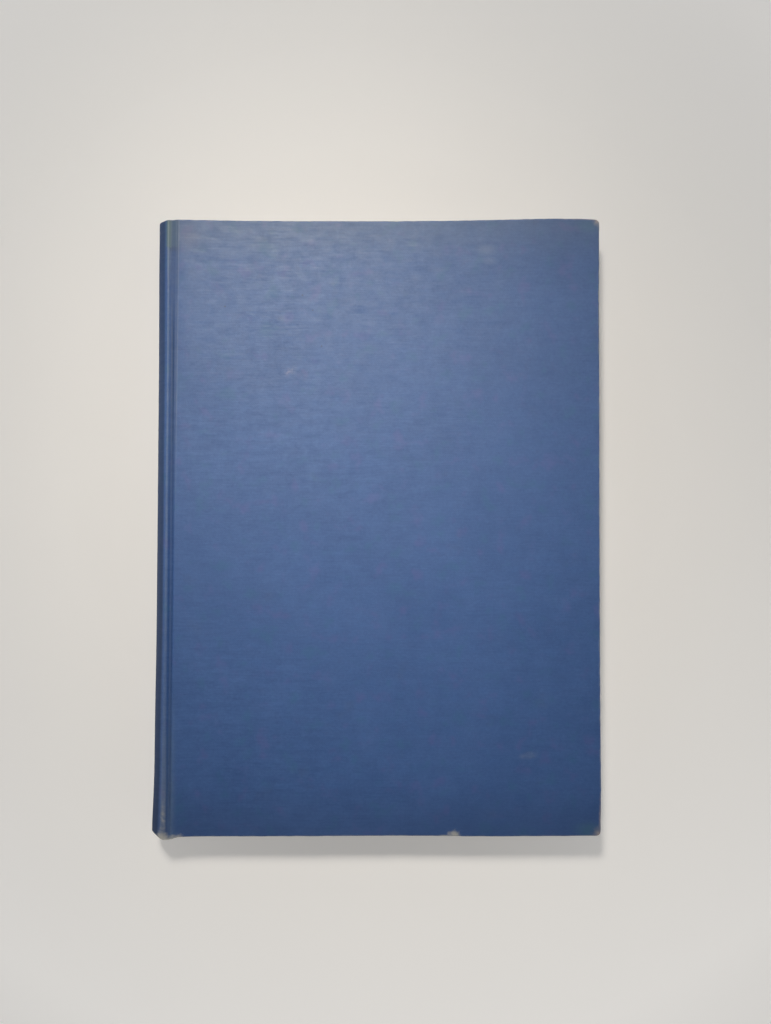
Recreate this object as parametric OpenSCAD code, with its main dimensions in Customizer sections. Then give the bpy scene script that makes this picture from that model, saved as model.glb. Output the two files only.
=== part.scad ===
// Cloth-bound hardback book, lying closed on its back cover.
// Rounded and backed text block in a case of two boards, a spine card and one sheet of book cloth.
// X runs across the book from the spine (-X) to the fore-edge (+X), Y from tail to head, Z up.
// Origin: centre of the bounding box, on the plane that the back cover lies on. Millimetres.

/* [Pages] */
// Width of a trimmed page, from the fold to the fore-edge
page_w = 176.5; // [150:0.5:220]
// Height of a trimmed page
page_h = 250; // [200:1:310]
// Thickness of the pages where the block is flat
block_t = 10.6; // [8:0.2:14]
// Depth of the hollow in the fore-edge, from the rounding of the spine
fore_depth = 3; // [1:0.25:4]
// Thickness of an endpaper leaf
paper_t = 0.15; // [0.1:0.01:0.2]

/* [Covers] */
// Thickness of a cover board
board_t = 2.5; // [2:0.1:3.5]
// Width of a cover board
board_w = 176.7; // [150:0.1:225]
// How far a board stands out past the pages at head and tail
square = 3; // [2:0.5:5]
// Thickness of the book cloth
cloth_t = 0.35; // [0.25:0.05:0.45]
// Width of cloth that is folded in over the edges of the boards
turn_in = 15; // [10:1:20]
// Air between the pasted endpaper and the first free leaf
swing_gap = 0.2; // [0.2:0.05:0.5]

/* [Spine] */
// Half angle of the rounded spine, from its middle to the shoulder
round_angle = 58; // [52:1:60]
// Thickness of the flexible spine card
card_t = 0.5; // [0.3:0.1:0.6]
// How far the crest of the shoulder lies below the face of the board
crest_drop = 0.325; // [0.2:0.025:0.6]
// Distance from the crest of the shoulder to the edge of the board
joint_w = 3.75; // [3.7:0.05:5]

/* [Hidden] */

crest_r = 1.0;                 // outer radius of the cloth over the shoulder
groove_r = 0.8;                // radius at the bottom of the groove
slope = 50;                    // slope of the groove's spine side
slope_l = 0.8;                 // straight length of that side
wall = 60;                     // slope of the cloth up to the board
corner_r = 0.5;                // rounding of the cloth over the board's edge
mull_t = 0.12;
lining_t = 0.15;
hollow = 0.48;                 // open back between the lining and the spine card
seg = round_angle / 12;        // step of every arc about the spine's centre

board_h = page_h + 2 * square;
case_h = board_h + 2 * cloth_t;
total_t = block_t + 2 * (cloth_t + board_t + cloth_t + paper_t + swing_gap + paper_t);
mid = total_t / 2;

// Hinge line: the centre of the crest, measured up from the middle of the book
hinge_h = mid - crest_drop - crest_r;
spine_r = hinge_h / sin(round_angle) + crest_r;          // outside of the cloth
crest_in = (spine_r - crest_r) * cos(round_angle);       // from the spine's centre back to the hinge line
block_r = spine_r - cloth_t - card_t - hollow - lining_t - mull_t;
total_w = spine_r - crest_in + joint_w + board_w + cloth_t;
centre_x = spine_r - total_w / 2;                        // centre of the spine's arc
hinge_x = centre_x - crest_in;
edge_x = total_w / 2;                                    // outside of the cloth at the fore-edge
board_x = hinge_x + joint_w;                             // spine side of the boards
page_x = hinge_x + page_w - 0.15;                        // fore-edge of the outer leaves
head_y = board_h / 2;

// Heights measured from the hinge line, for the upper half of the book
face = crest_drop + crest_r;                             // outer face of the cover
inner = face - cloth_t - board_t;                        // inner face of the board
fold = inner - cloth_t;                                  // underside of the turned-in cloth
paste = fold - paper_t;                                  // underside of the pasted endpaper
leaf = paste - swing_gap;                                // top of the free leaf
flat = leaf - paper_t;                                   // top of the pages

// Centre of the groove's bottom arc and of the corner arc over the board
gc = [(crest_r + groove_r) * sin(slope) + slope_l * cos(slope),
      (crest_r + groove_r) * cos(slope) - slope_l * sin(slope)];
cc = [gc[0] + groove_r * sin(wall) + corner_r * sin(wall)
        + (face - corner_r - gc[1] + groove_r * cos(wall) + corner_r * cos(wall)) / tan(wall),
      face - corner_r];

// A point given from the hinge line, on the upper (s = 1) or lower (s = -1) side
function at(p, s) = [hinge_x + p[0], mid + s * (hinge_h + p[1])];
function place(pts, s) = [for (p = pts) at(p, s)];
function back(v) = [for (i = [len(v) - 1 : -1 : 0]) v[i]];
// An arc about the spine's centre, steps a to b of the common grid
function spine_arc(r, a, b) =
    [for (i = [a : (b > a ? 1 : -1) : b]) [centre_x - r * cos(i * seg), mid + r * sin(i * seg)]];
// Arcs of the groove and of the crest, from the hinge line
function groove_arc(r, a, b, n = 8) =
    [for (i = [0 : n]) let (t = a + (b - a) * i / n) [gc[0] - r * sin(t), gc[1] - r * cos(t)]];
function crest_arc(r, n = 10) =
    [for (i = [0 : n]) let (t = 90 - round_angle + (-(90 - round_angle) - slope) * i / n)
        [-r * sin(t), r * cos(t)]];
function corner_arc(r, n = 4) =
    [for (i = [0 : n]) let (t = 90 + wall - wall * i / n) [cc[0] + r * cos(t), cc[1] + r * sin(t)]];

// The surface of the pages from the tip of the shoulder down to the flat
tip = [(spine_r - crest_r - block_r) * cos(round_angle), -(spine_r - crest_r - block_r) * sin(round_angle)];
function rise(p, d) = [p[0], p[1] + d];
shoulder = [tip, [0.8, -0.95], [1.3, -1.25], [1.7, -1.415], [1.9, -1.5], [2.6, -1.85],
            [3.2, flat + 0.22], [joint_w, flat]];

module section(pts, h) { rotate([90, 0, 0]) linear_extrude(height = h, center = true) polygon(pts); }
module box(x0, x1, y0, y1, z0, z1) { translate([x0, y0, z0]) cube([x1 - x0, y1 - y0, z1 - z0]); }
// A box on the upper or lower side, its heights given from the hinge line
module slab(x0, x1, y0, y1, h0, h1, s) {
    if (s > 0) box(x0, x1, y0, y1, mid + hinge_h + h0, mid + hinge_h + h1);
    else box(x0, x1, y0, y1, mid - hinge_h - h1, mid - hinge_h - h0);
}
// Shell between two radii about the spine's centre, steps -n to n of the grid
module spine_shell(r0, r1, n, h) { section(concat(spine_arc(r1, -n, n), spine_arc(r0, n, -n)), h); }

// All the leaves between the endpapers, as one block
module page_block() {
    fore_r = (pow(block_t / 2, 2) + pow(fore_depth, 2)) / (2 * fore_depth);
    half = asin(block_t / 2 / fore_r);
    fore = [for (i = [0 : 16]) let (t = -half + 2 * half * i / 16)
        [page_x - fore_depth + fore_r - fore_r * cos(t), mid + fore_r * sin(t)]];
    color("ivory") section(concat(
        spine_arc(block_r, 12, -12),
        place([for (i = [1 : len(shoulder) - 1]) shoulder[i]], -1),
        fore,
        back(place([for (i = [1 : len(shoulder) - 1]) shoulder[i]], 1))), page_h);
}

// Free half of an endpaper, lying on the pages and running up the shoulder
module flyleaf(s) {
    low = concat(place([for (i = [1 : len(shoulder) - 1]) shoulder[i]], s), [[page_x, mid + s * block_t / 2]]);
    high = concat(place([for (i = [1 : len(shoulder) - 1]) rise(shoulder[i], paper_t)], s),
                  [[page_x, mid + s * (block_t / 2 + paper_t)]]);
    color("antiquewhite") section(concat(low, back(high)), page_h);
}
module front_flyleaf() { flyleaf(1); }
module back_flyleaf() { flyleaf(-1); }

// Open-weave cloth glued over the sewn folds
module spine_mull() { color("wheat") spine_shell(block_r, block_r + mull_t, 11, page_h - 2 * 13); }
// Strip of brown paper glued over the mull
module spine_lining() {
    color("tan") spine_shell(block_r + mull_t, block_r + mull_t + lining_t, 10, page_h - 1);
}

// Beaded band at one end of the spine: a cord roll on a tape
module band(s) {
    color("lightsteelblue") {
        translate([0, s * (page_h / 2 - 5.55), 0]) spine_shell(block_r, block_r + mull_t, 11, 12.9);
        translate([centre_x, s * (page_h / 2 + 0.92), mid]) rotate([90, 0, 0]) rotate([0, 0, 180 - 10 * seg])
            rotate_extrude(angle = 20 * seg, $fn = 96) translate([block_r - 0.55, 0]) circle(r = 0.85, $fn = 24);
    }
}
module head_band() { band(1); }
module tail_band() { band(-1); }

// Flexible card that keeps the spine of the case round
module spine_card() { color("burlywood") spine_shell(spine_r - cloth_t - card_t, spine_r - cloth_t, 10, board_h); }

// The cloth over the spine: across the card, over both shoulders and down to the groove
module spine_cloth() {
    out = concat(back(groove_arc(groove_r, slope, 24, 4)), back(crest_arc(crest_r)));
    in = concat(back(groove_arc(groove_r + cloth_t, slope, 20, 4)), back(crest_arc(crest_r - cloth_t)));
    color("steelblue") {
        section(concat(
            place(out, 1), spine_arc(spine_r, 11, -11), back(place(out, -1)),
            place(in, -1), spine_arc(spine_r - cloth_t, -11, 11), back(place(in, 1))), case_h);
        // folded in over both ends of the card
        for (s = [-1, 1]) {
            r0 = spine_r - cloth_t - card_t - cloth_t;
            translate([0, s * (head_y + cloth_t / 2), 0]) spine_shell(r0, spine_r - cloth_t / 2, 10, cloth_t);
            translate([0, s * (head_y + cloth_t - (turn_in + cloth_t) / 2), 0])
                spine_shell(r0, r0 + cloth_t, 10, turn_in + cloth_t);
        }
    }
}

// Stiff board of one cover
module board(s) { color("peru") slab(board_x, edge_x - cloth_t, -head_y, head_y, inner, face - cloth_t, s); }
module front_board() { board(1); }
module back_board() { board(-1); }

// The cloth over one cover: from the groove over the board and folded in along three edges
module cover_cloth(s) {
    out = concat(groove_arc(groove_r, 0, -wall, 6), corner_arc(corner_r), [[edge_x - hinge_x, face]]);
    in = concat(groove_arc(groove_r + cloth_t, 4, -wall, 6), corner_arc(corner_r - cloth_t),
                [[edge_x - hinge_x, face - cloth_t]]);
    inside = edge_x - cloth_t - turn_in;
    color("steelblue") {
        section(concat(place(out, s), back(place(in, s))), case_h);
        slab(edge_x - cloth_t, edge_x, -case_h / 2, case_h / 2, fold, face - cloth_t / 2, s);
        slab(inside, edge_x, -case_h / 2, case_h / 2, fold, inner, s);
        for (e = [-1, 1]) {
            y0 = e > 0 ? head_y : -head_y - cloth_t;
            t0 = e > 0 ? head_y - turn_in : -head_y - cloth_t;
            slab(board_x, edge_x, y0, y0 + cloth_t, fold, face - cloth_t / 2, s);
            slab(board_x, edge_x, t0, t0 + turn_in + cloth_t, fold, inner, s);
        }
    }
}
module front_cloth() { cover_cloth(1); }
module back_cloth() { cover_cloth(-1); }

// Half of an endpaper pasted inside a cover, stepping down over the folded-in cloth
module pastedown(s) {
    inside = edge_x - cloth_t - turn_in;
    ty = head_y - turn_in;
    run = [for (i = [3 : len(shoulder) - 1]) shoulder[i]];
    color("antiquewhite") {
        section(concat(place([for (p = run) rise(p, paper_t + swing_gap)], s),
                       back(place([for (p = run) rise(p, 2 * paper_t + swing_gap)], s))), page_h);
        difference() {
            slab(board_x, page_x, -page_h / 2, page_h / 2, paste, inner, s);
            slab(inside, page_x + 1, -page_h, page_h, fold, inner + 1, s);
            for (e = [-1, 1])
                slab(board_x - 1, page_x + 1, e > 0 ? ty : -page_h, e > 0 ? page_h : -ty, fold, inner + 1, s);
            slab(board_x + paper_t, inside - paper_t, -ty + paper_t, ty - paper_t, paste - 1, inner - paper_t, s);
        }
    }
}
module front_pastedown() { pastedown(1); }
module back_pastedown() { pastedown(-1); }

page_block();
front_flyleaf();
back_flyleaf();
spine_mull();
spine_lining();
head_band();
tail_band();
spine_card();
spine_cloth();
front_board();
front_cloth();
front_pastedown();
back_board();
back_cloth();
back_pastedown();
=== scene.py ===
"""Cloth-bound hardback book: the finish of every surface, built round the fixed frame.

Lengths in this script are millimetres until a mesh is made. "h" is a height measured from
the middle of the book's thickness, so that the upper and the lower half share every formula.
"""

import math

import bpy
import numpy as np
from mathutils import Matrix, Vector


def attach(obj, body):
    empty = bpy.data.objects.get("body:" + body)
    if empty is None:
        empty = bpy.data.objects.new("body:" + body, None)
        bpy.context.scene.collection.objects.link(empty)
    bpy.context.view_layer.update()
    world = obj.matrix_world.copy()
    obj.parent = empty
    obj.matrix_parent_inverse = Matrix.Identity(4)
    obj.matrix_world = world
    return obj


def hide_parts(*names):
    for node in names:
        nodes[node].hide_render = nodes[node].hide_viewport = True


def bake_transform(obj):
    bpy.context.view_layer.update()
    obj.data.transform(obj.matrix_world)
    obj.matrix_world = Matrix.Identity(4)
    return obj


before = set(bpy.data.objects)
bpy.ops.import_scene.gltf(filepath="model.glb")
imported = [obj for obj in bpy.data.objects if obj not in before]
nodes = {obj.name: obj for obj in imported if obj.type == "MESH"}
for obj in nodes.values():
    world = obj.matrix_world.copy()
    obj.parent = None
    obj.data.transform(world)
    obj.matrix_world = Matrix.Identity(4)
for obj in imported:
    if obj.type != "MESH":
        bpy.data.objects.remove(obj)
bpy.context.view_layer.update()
scene = bpy.context.scene
MM = 0.001

# ---------------------------------------------------------------- main sizes
MID = 9.0  # height of the middle of the book
KX, KH = -87.77284, 7.675  # hinge line of a cover
CX = -82.97697  # centre of the spine's arc
SPINE_R = 10.05019  # outside of the cloth over the spine
BLOCK_R = 8.45019  # outside of the folds of the pages
EDGE_X = 93.02716  # outside of the cloth at the fore-edge
EDGE_Y = 128.35  # outside of the cloth at head and tail
FACE = 9.0  # outer face of a cover
UNDER = 5.8  # underside of the cloth folded in over a board
BOARD_X = KX + 3.75  # spine side of a board
CLOTH_T = 0.33
TURN_IN = 15.0
PAGE_X = 88.57716  # fore-edge of the outer leaves
PAGE_Y = 125.0
FLAT = 5.3  # top of the pages
SHOULDER = [(0.318, -0.509), (0.8, -0.95), (1.3, -1.25), (1.7, -1.415), (1.9, -1.5),
            (2.6, -1.85), (3.2, -2.155), (3.75, -2.375)]


def rad(a):
    return a * math.pi / 180


def smooth(x, a, b):
    t = np.clip((np.asarray(x, float) - a) / (b - a), 0, 1)
    return t * t * (3 - 2 * t)


def waves(x, y, seed, length, n=7):
    """A smooth, gentle unevenness: a sum of sines of random direction, about -1 to 1."""
    rng = np.random.default_rng(seed)
    out = np.zeros(np.broadcast(x, y).shape)
    for _ in range(n):
        a = rng.uniform(0, 2 * math.pi)
        k = 2 * math.pi / (length * rng.uniform(0.6, 1.7))
        out += np.sin(k * (x * math.cos(a) + y * math.sin(a)) + rng.uniform(0, 6.28))
    return out / math.sqrt(n)


def spread(a, b, first, last, grow):
    """Positions from a to b whose steps grow from first at a, and from last at b, to at most grow."""
    left, right, x, y, s, t = [a], [b], a, b, first, last
    while y - x > s + t:
        if s <= t:
            x += s
            left.append(x)
            s = min(s * 1.25, grow)
        else:
            y -= t
            right.append(y)
            t = min(t * 1.25, grow)
    return np.array(left + right[::-1])


# ---------------------------------------------------------------- mesh helpers
def mesh_object(name, verts, faces, uv=None, smooth_shade=True, flat_last=0):
    """verts in mm; uv is a list with one (u, v) for each corner of each face, in order. The last
    flat_last faces are shaded flat."""
    me = bpy.data.meshes.new(name)
    me.from_pydata([tuple(v) for v in np.asarray(verts, float) * MM], [], [tuple(int(i) for i in f) for f in faces])
    if uv is not None:
        layer = me.uv_layers.new(name="flat")
        layer.uv.foreach_set("vector", np.asarray(uv, np.float32).ravel())
    me.polygons.foreach_set("use_smooth", [smooth_shade and i < len(me.polygons) - flat_last for i in range(len(me.polygons))])
    me.update()
    ob = bpy.data.objects.new(name, me)
    scene.collection.objects.link(ob)
    return ob


def vertex_normals(verts, faces):
    v = np.asarray(verts, float)
    f = np.asarray(faces)
    n = np.cross(v[f[:, 2]] - v[f[:, 0]], v[f[:, 3]] - v[f[:, 1]])
    out = np.zeros_like(v)
    unit = n / np.maximum(np.linalg.norm(n, axis=1, keepdims=True), 1e-12)
    for c in range(4):
        a = v[f[:, (c + 1) % 4]] - v[f[:, c]]
        b = v[f[:, (c + 3) % 4]] - v[f[:, c]]
        cos = (a * b).sum(1) / np.maximum(np.linalg.norm(a, axis=1) * np.linalg.norm(b, axis=1), 1e-12)
        angle = np.arccos(np.clip(cos, -1, 1))
        np.add.at(out, f[:, c], unit * angle[:, None])
    return out / np.maximum(np.linalg.norm(out, axis=1, keepdims=True), 1e-12)


def thicken(verts, faces, uv, t):
    """A closed shell: the given quads outside, the same moved inwards by t, and a rim."""
    v = np.asarray(verts, float)
    f = np.asarray(faces)
    n = len(v)
    inner = v - vertex_normals(v, f) * t
    edges = {}
    for q, quad in enumerate(f.tolist()):
        for c in range(4):
            a, b = quad[c], quad[(c + 1) % 4]
            if (b, a) in edges:
                del edges[(b, a)]
            else:
                edges[(a, b)] = (q, c)
    rim, rim_uv = [], []
    for (a, b), (q, c) in edges.items():
        rim.append((b, a, a + n, b + n))
        ua, ub = uv[q][c], uv[q][(c + 1) % 4]
        rim_uv.append((ub, ua, ua, ub))
    uv = np.asarray(uv, float)
    all_faces = np.concatenate([f, f[:, ::-1] + n, np.array(rim)])
    all_uv = np.concatenate([uv, uv[:, ::-1], np.array(rim_uv)])
    return np.concatenate([v, inner]), all_faces, all_uv


# ---------------------------------------------------------------- book cloth
def cloth_section():
    """Columns from the middle of the spine to the fore-edge: outside point, normal, the point
    under it where the cloth folded in at head and tail lies, and the length along the cloth."""
    p, n, q = [], [], []

    def add(x, h, nx, nh, thick):
        p.append((x, h))
        n.append((nx, nh))
        q.append((x - nx * thick, h - nh * thick))

    for a in np.linspace(0, 58, 40):
        c, s = math.cos(rad(a)), math.sin(rad(a))
        add(CX - SPINE_R * c, SPINE_R * s, -c, s, 1.2 - 0.5 * float(smooth(a, 46, 57)))
    for a in np.linspace(122, 40, 19)[1:]:
        c, s = math.cos(rad(a)), math.sin(rad(a))
        add(KX + c, KH + s, c, s, 0.7)
    ex, eh, c, s = KX + math.cos(rad(40)), KH + math.sin(rad(40)), math.cos(rad(40)), math.sin(rad(40))
    for d in (0.27, 0.53):
        add(ex + d * s, eh - d * c, c, s, 0.7)
    gx, gh = KX + 1.8932, KH + 0.5442
    for t in np.linspace(50, -60, 24):
        add(gx - 0.8 * math.sin(rad(t)), gh - 0.8 * math.cos(rad(t)), math.sin(rad(t)), math.cos(rad(t)), 0.7)
    first = len(q)
    x0, h0 = p[-1]
    cx, ch = KX + 3.5572, KH + 0.825
    x1, h1 = cx + 0.5 * math.cos(rad(150)), ch + 0.5 * math.sin(rad(150))
    for f in (0.25, 0.5, 0.75):
        add(x0 + (x1 - x0) * f, h0 + (h1 - h0) * f, math.cos(rad(150)), math.sin(rad(150)), 0.7)
    for a in np.linspace(150, 90, 10):
        add(cx + 0.5 * math.cos(rad(a)), ch + 0.5 * math.sin(rad(a)), math.cos(rad(a)), math.sin(rad(a)), 0.7)
    # the folded-in cloth goes down the board's edge and on to its inner side
    path = np.array([q[first - 1], (KX + 3.38, KH - 0.5), (KX + 3.4, KH - 1.05), (KX + 3.4, KH - 1.62),
                     (KX + 3.47, KH - 1.79), (KX + 3.65, KH - 1.875)])
    at = np.r_[0, np.cumsum(np.hypot(*np.diff(path, axis=0).T))]
    count = len(p) - first
    for i in range(count):
        d = at[-1] * (i + 1) / count
        q[first + i] = (np.interp(d, at, path[:, 0]), np.interp(d, at, path[:, 1]))
    for x in spread(cx, EDGE_X - 0.62, 0.3, 0.22, 1.7)[1:]:
        add(float(x), FACE, 0.0, 1.0, FACE - UNDER)
    p, n, q = np.array(p), np.array(n), np.array(q)
    length = np.r_[0, np.cumsum(np.hypot(*np.diff(p, axis=0).T))]
    start = int(np.nonzero(np.isclose(p[:, 0], cx))[0][0])
    length += p[start, 0] - length[start]  # along the face, this length is x itself
    return p, n, q, length


def cloth_half():
    p, n, q, length = cloth_section()
    cols = len(p)
    rows_y = spread(-127.73, 127.73, 0.22, 0.22, 1.9)
    rows = len(rows_y)
    board = p[:, 0] > KX + 3.6  # columns that lie on the board
    face_x = np.where(board, p[:, 0], KX + 3.6)

    verts, flat, faces, uvs = [], [], [], []
    # outside, from the middle of the spine to the fore-edge
    for j in range(rows):
        for i in range(cols):
            verts.append((p[i, 0], p[i, 1], rows_y[j]))
            flat.append((length[i], rows_y[j]))

    def grid(i, j):
        return j * cols + i

    for j in range(rows - 1):
        for i in range(cols - 1):
            quad = (grid(i, j), grid(i + 1, j), grid(i + 1, j + 1), grid(i, j + 1))
            faces.append(quad)
            uvs.append([flat[k] for k in quad])

    depth = np.hypot(*(q - p).T)
    r_top = np.minimum(0.55, depth * 0.47)
    r_low = np.minimum(0.45, depth * 0.47)
    steps = [("top", a) for a in (0, 22.5, 45, 67.5, 90)] + [("wall", 0.5)] + \
            [("low", a) for a in (0, 22.5, 45, 67.5, 90)] + \
            [("in", a) for a in (0.9, 1.4, 2.0, 2.8, 3.6, 4.6, 6.2, 8.5, 11.0, 13.2, TURN_IN + 0.35)]

    def edge(step, top, low, deep):
        """(distance back from the outer edge, depth below the outer face) of a ring."""
        kind, a = step
        if kind == "top":
            return top - top * math.sin(rad(a)), top * (1 - math.cos(rad(a)))
        if kind == "wall":
            return 0.0, top + (deep - top - low) * a
        if kind == "low":
            return low * (1 - math.cos(rad(a))), deep - low + low * math.sin(rad(a))
        return a, deep

    narrow = 0.765 + 0.235 * smooth(p[:, 0], KX + 3.6, KX + 9)  # the fold is narrower over the spine
    ring_before = None
    run = np.zeros(2 * cols + rows - 2)
    fore_deep = FACE - UNDER
    for step in steps:
        ring, side_of, ring_flat = [], [], []
        f_back, f_deep = edge(step, 0.55, 0.45, fore_deep)
        fx = EDGE_X - f_back
        for end in (1, -1):
            order = range(cols) if end > 0 else range(cols - 1, -1, -1)
            part = []
            for i in order:
                back, deep = edge(step, r_top[i], r_low[i], depth[i])
                if step[0] == "in":
                    back = 0.9 + (back - 0.9) * narrow[i]
                share = deep / depth[i]
                x, h = p[i] + (q[i] - p[i]) * share
                if board[i]:  # mitre: the row of columns shortens with the fold
                    x = face_x[i] if step[0] != "in" else x
                    x = BOARD_X + (x - BOARD_X) * ((fx - BOARD_X) / (EDGE_X - 0.62 - BOARD_X)) if x > BOARD_X else x
                y = (EDGE_Y - back) * end
                part.append((x, h, y, end, i))
            if end > 0:
                for x, h, y, e, i in part:
                    ring.append((x, h, y))
                    side_of.append(("head", i))
                for j in range(rows - 2, 0, -1):
                    ys = rows_y[j] * (EDGE_Y - f_back) / (rows_y[-1])
                    ring.append((fx, FACE - f_deep, ys))
                    side_of.append(("fore", j))
            else:
                for x, h, y, e, i in part:
                    ring.append((x, h, y))
                    side_of.append(("tail", i))
        base = len(verts)
        if ring_before is None:
            before_idx = [grid(i, rows - 1) for i in range(cols)] + \
                         [grid(cols - 1, j) for j in range(rows - 2, 0, -1)] + \
                         [grid(i, 0) for i in range(cols - 1, -1, -1)]
            before_pos = np.array([verts[k] for k in before_idx])
        else:
            before_idx, before_pos = ring_before
        ring = np.array(ring)
        run = run + np.linalg.norm(ring - before_pos, axis=1) if step[0] != "in" or step[1] < 1 else \
            run + np.abs(run_step(step, last_step))
        last_step = step
        verts.extend(map(tuple, ring))
        idx = list(range(base, base + len(ring)))
        ring_info = (idx, ring, run.copy())
        prev_run = ring_before_run if ring_before is not None else np.zeros(len(ring))
        for k in range(len(ring) - 1):
            quad = (before_idx[k], before_idx[k + 1], idx[k + 1], idx[k])
            where = "head" if k < cols - 1 else ("fore" if k < cols - 1 + rows - 1 else "tail")
            corner = []
            for c, m in ((before_idx[k], k), (before_idx[k + 1], k + 1), (idx[k + 1], k + 1), (idx[k], k)):
                new = c >= base
                r = (run if new else prev_run)[m]
                pos = ring[m] if new else before_pos[m]
                if where == "fore":
                    corner.append((EDGE_X - 0.62 + r, pos[2]))
                else:
                    e = 1 if where == "head" else -1
                    i = side_of[m][1] if side_of[m][0] != "fore" else cols - 1
                    u = pos[0] if board[i] else length[i]
                    corner.append((u, e * (127.73 + r)))
            faces.append(quad)
            uvs.append(corner)
        ring_before = (idx, ring)
        ring_before_run = run.copy()
    verts = np.array(verts, float)
    return verts, np.array(faces), uvs


def run_step(step, last):
    a = step[1]
    b = last[1] if last[0] == "in" else 0.45
    return a - b


# how far the edges of the front cover stand out of (or draw in from) a straight line
HEAD_EDGE = [(-93, -0.20), (-89, 0.0), (-85, 0.25), (-78, 0.05), (-57, -0.30), (-32, -0.48), (10, -0.48),
             (38, -0.12), (56, 0.30), (72, 0.70), (84, 0.62), (94, 0.30)]
TAIL_EDGE = [(-94, -0.7), (-90.2, -0.7), (-88.6, 2.3), (-87, 4.5), (-85.6, 2.7), (-84, 1.35), (-81, 1.15), (-76, 1.0),
             (-70, 0.90), (-57, 0.85), (-32, 0.70), (10, 0.34), (50, 0.55), (76, 0.28), (94, 0.10)]
FORE_EDGE = [(-129, -0.05), (-121, 0.10), (-113, 0.30), (-93, 0.15), (-51, 0.05), (0, 0.10), (53, 0.30), (95, 0.25), (116, 0.48),
             (129, 0.62)]


def table(t, at):
    """Smooth line through the points of a table."""
    a = np.array(t, float)
    fine = np.linspace(a[0, 0], a[-1, 0], 400)
    rough = np.interp(fine, a[:, 0], a[:, 1])
    k = np.hanning(23)
    pad = np.r_[np.full(11, rough[0]), rough, np.full(11, rough[-1])]
    return np.interp(at, fine, np.convolve(pad, k / k.sum(), "valid"))


def outline(x, y, side, limit=9.0):
    """Moves points of a cover so that its outline is as uneven as that of a used book."""
    if side > 0:
        head, tail, fore = table(HEAD_EDGE, x), table(TAIL_EDGE, x), table(FORE_EDGE, y)
    else:
        head = 0.30 * np.abs(x / 93.0) ** 5 - 0.08
        tail = 0.24 * np.abs(x / 93.0) ** 5 - 0.05
        fore = 0.25 * np.abs(y / 128.0) ** 4 - 0.05
    head, tail, fore = (np.clip(a, -limit, limit) for a in (head, tail, fore))
    near = smooth(x, KX + 5, KX - 1)
    y = y + smooth(y, 84, 128) * head - smooth(-y, 84 + 28 * near, 128) * tail
    x = x + smooth(x, 50, 93) * fore
    return x, y


def case_shape(x, h, y, side):
    """The outline, and the spine's end, which flares where the book is pulled off a shelf and set down.
    Both halves meet without a step at the middle of the spine."""
    x1, y1 = outline(x, y, side)
    part = smooth(h, 0.0, 6.0)
    if side > 0:
        on_spine = np.where(x < KX + 0.2, smooth(h, 0.0, 6.5), 1.0)
        x0, y0 = outline(x, y, -1)
        x1, y1 = x0 + (x1 - x0) * on_spine, y0 + (y1 - y0) * on_spine
    flare = (0.68 * smooth(-y, 35, 95) + 1.0 * smooth(-y, 88, 129) ** 2 + 0.42 * smooth(y, 62, 112)) * \
        smooth(-x, 84.5, 91.5)
    x1 = x1 - flare * (0.6 * (0.35 + 0.65 * part) + (0.4 * part if side > 0 else 0.0))
    return x1, y1


def slack(x, y, side):
    """How far the slope from the joint up to the board leans on to the board. The cloth was pressed
    into the joint less and less sharply towards the head."""
    lean = 0.6 * smooth(y, -35, 118) if side > 0 else 0.4 * smooth(y, 0, 120)
    return lean * smooth(x, KX + 36, KX + 3.5)


def sink(x, y, side):
    """How far the face is rounded off towards the joint."""
    deep = 0.04 + 0.16 * smooth(y, -10, 112) + 0.10 * smooth(-y, 60, 120) if side > 0 else \
        0.05 + 0.15 * smooth(y, 0, 110)
    t = np.clip((x - (KX + 3.9)) / 5.2, 0, 1)
    return deep * (1 - t) ** 2


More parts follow.
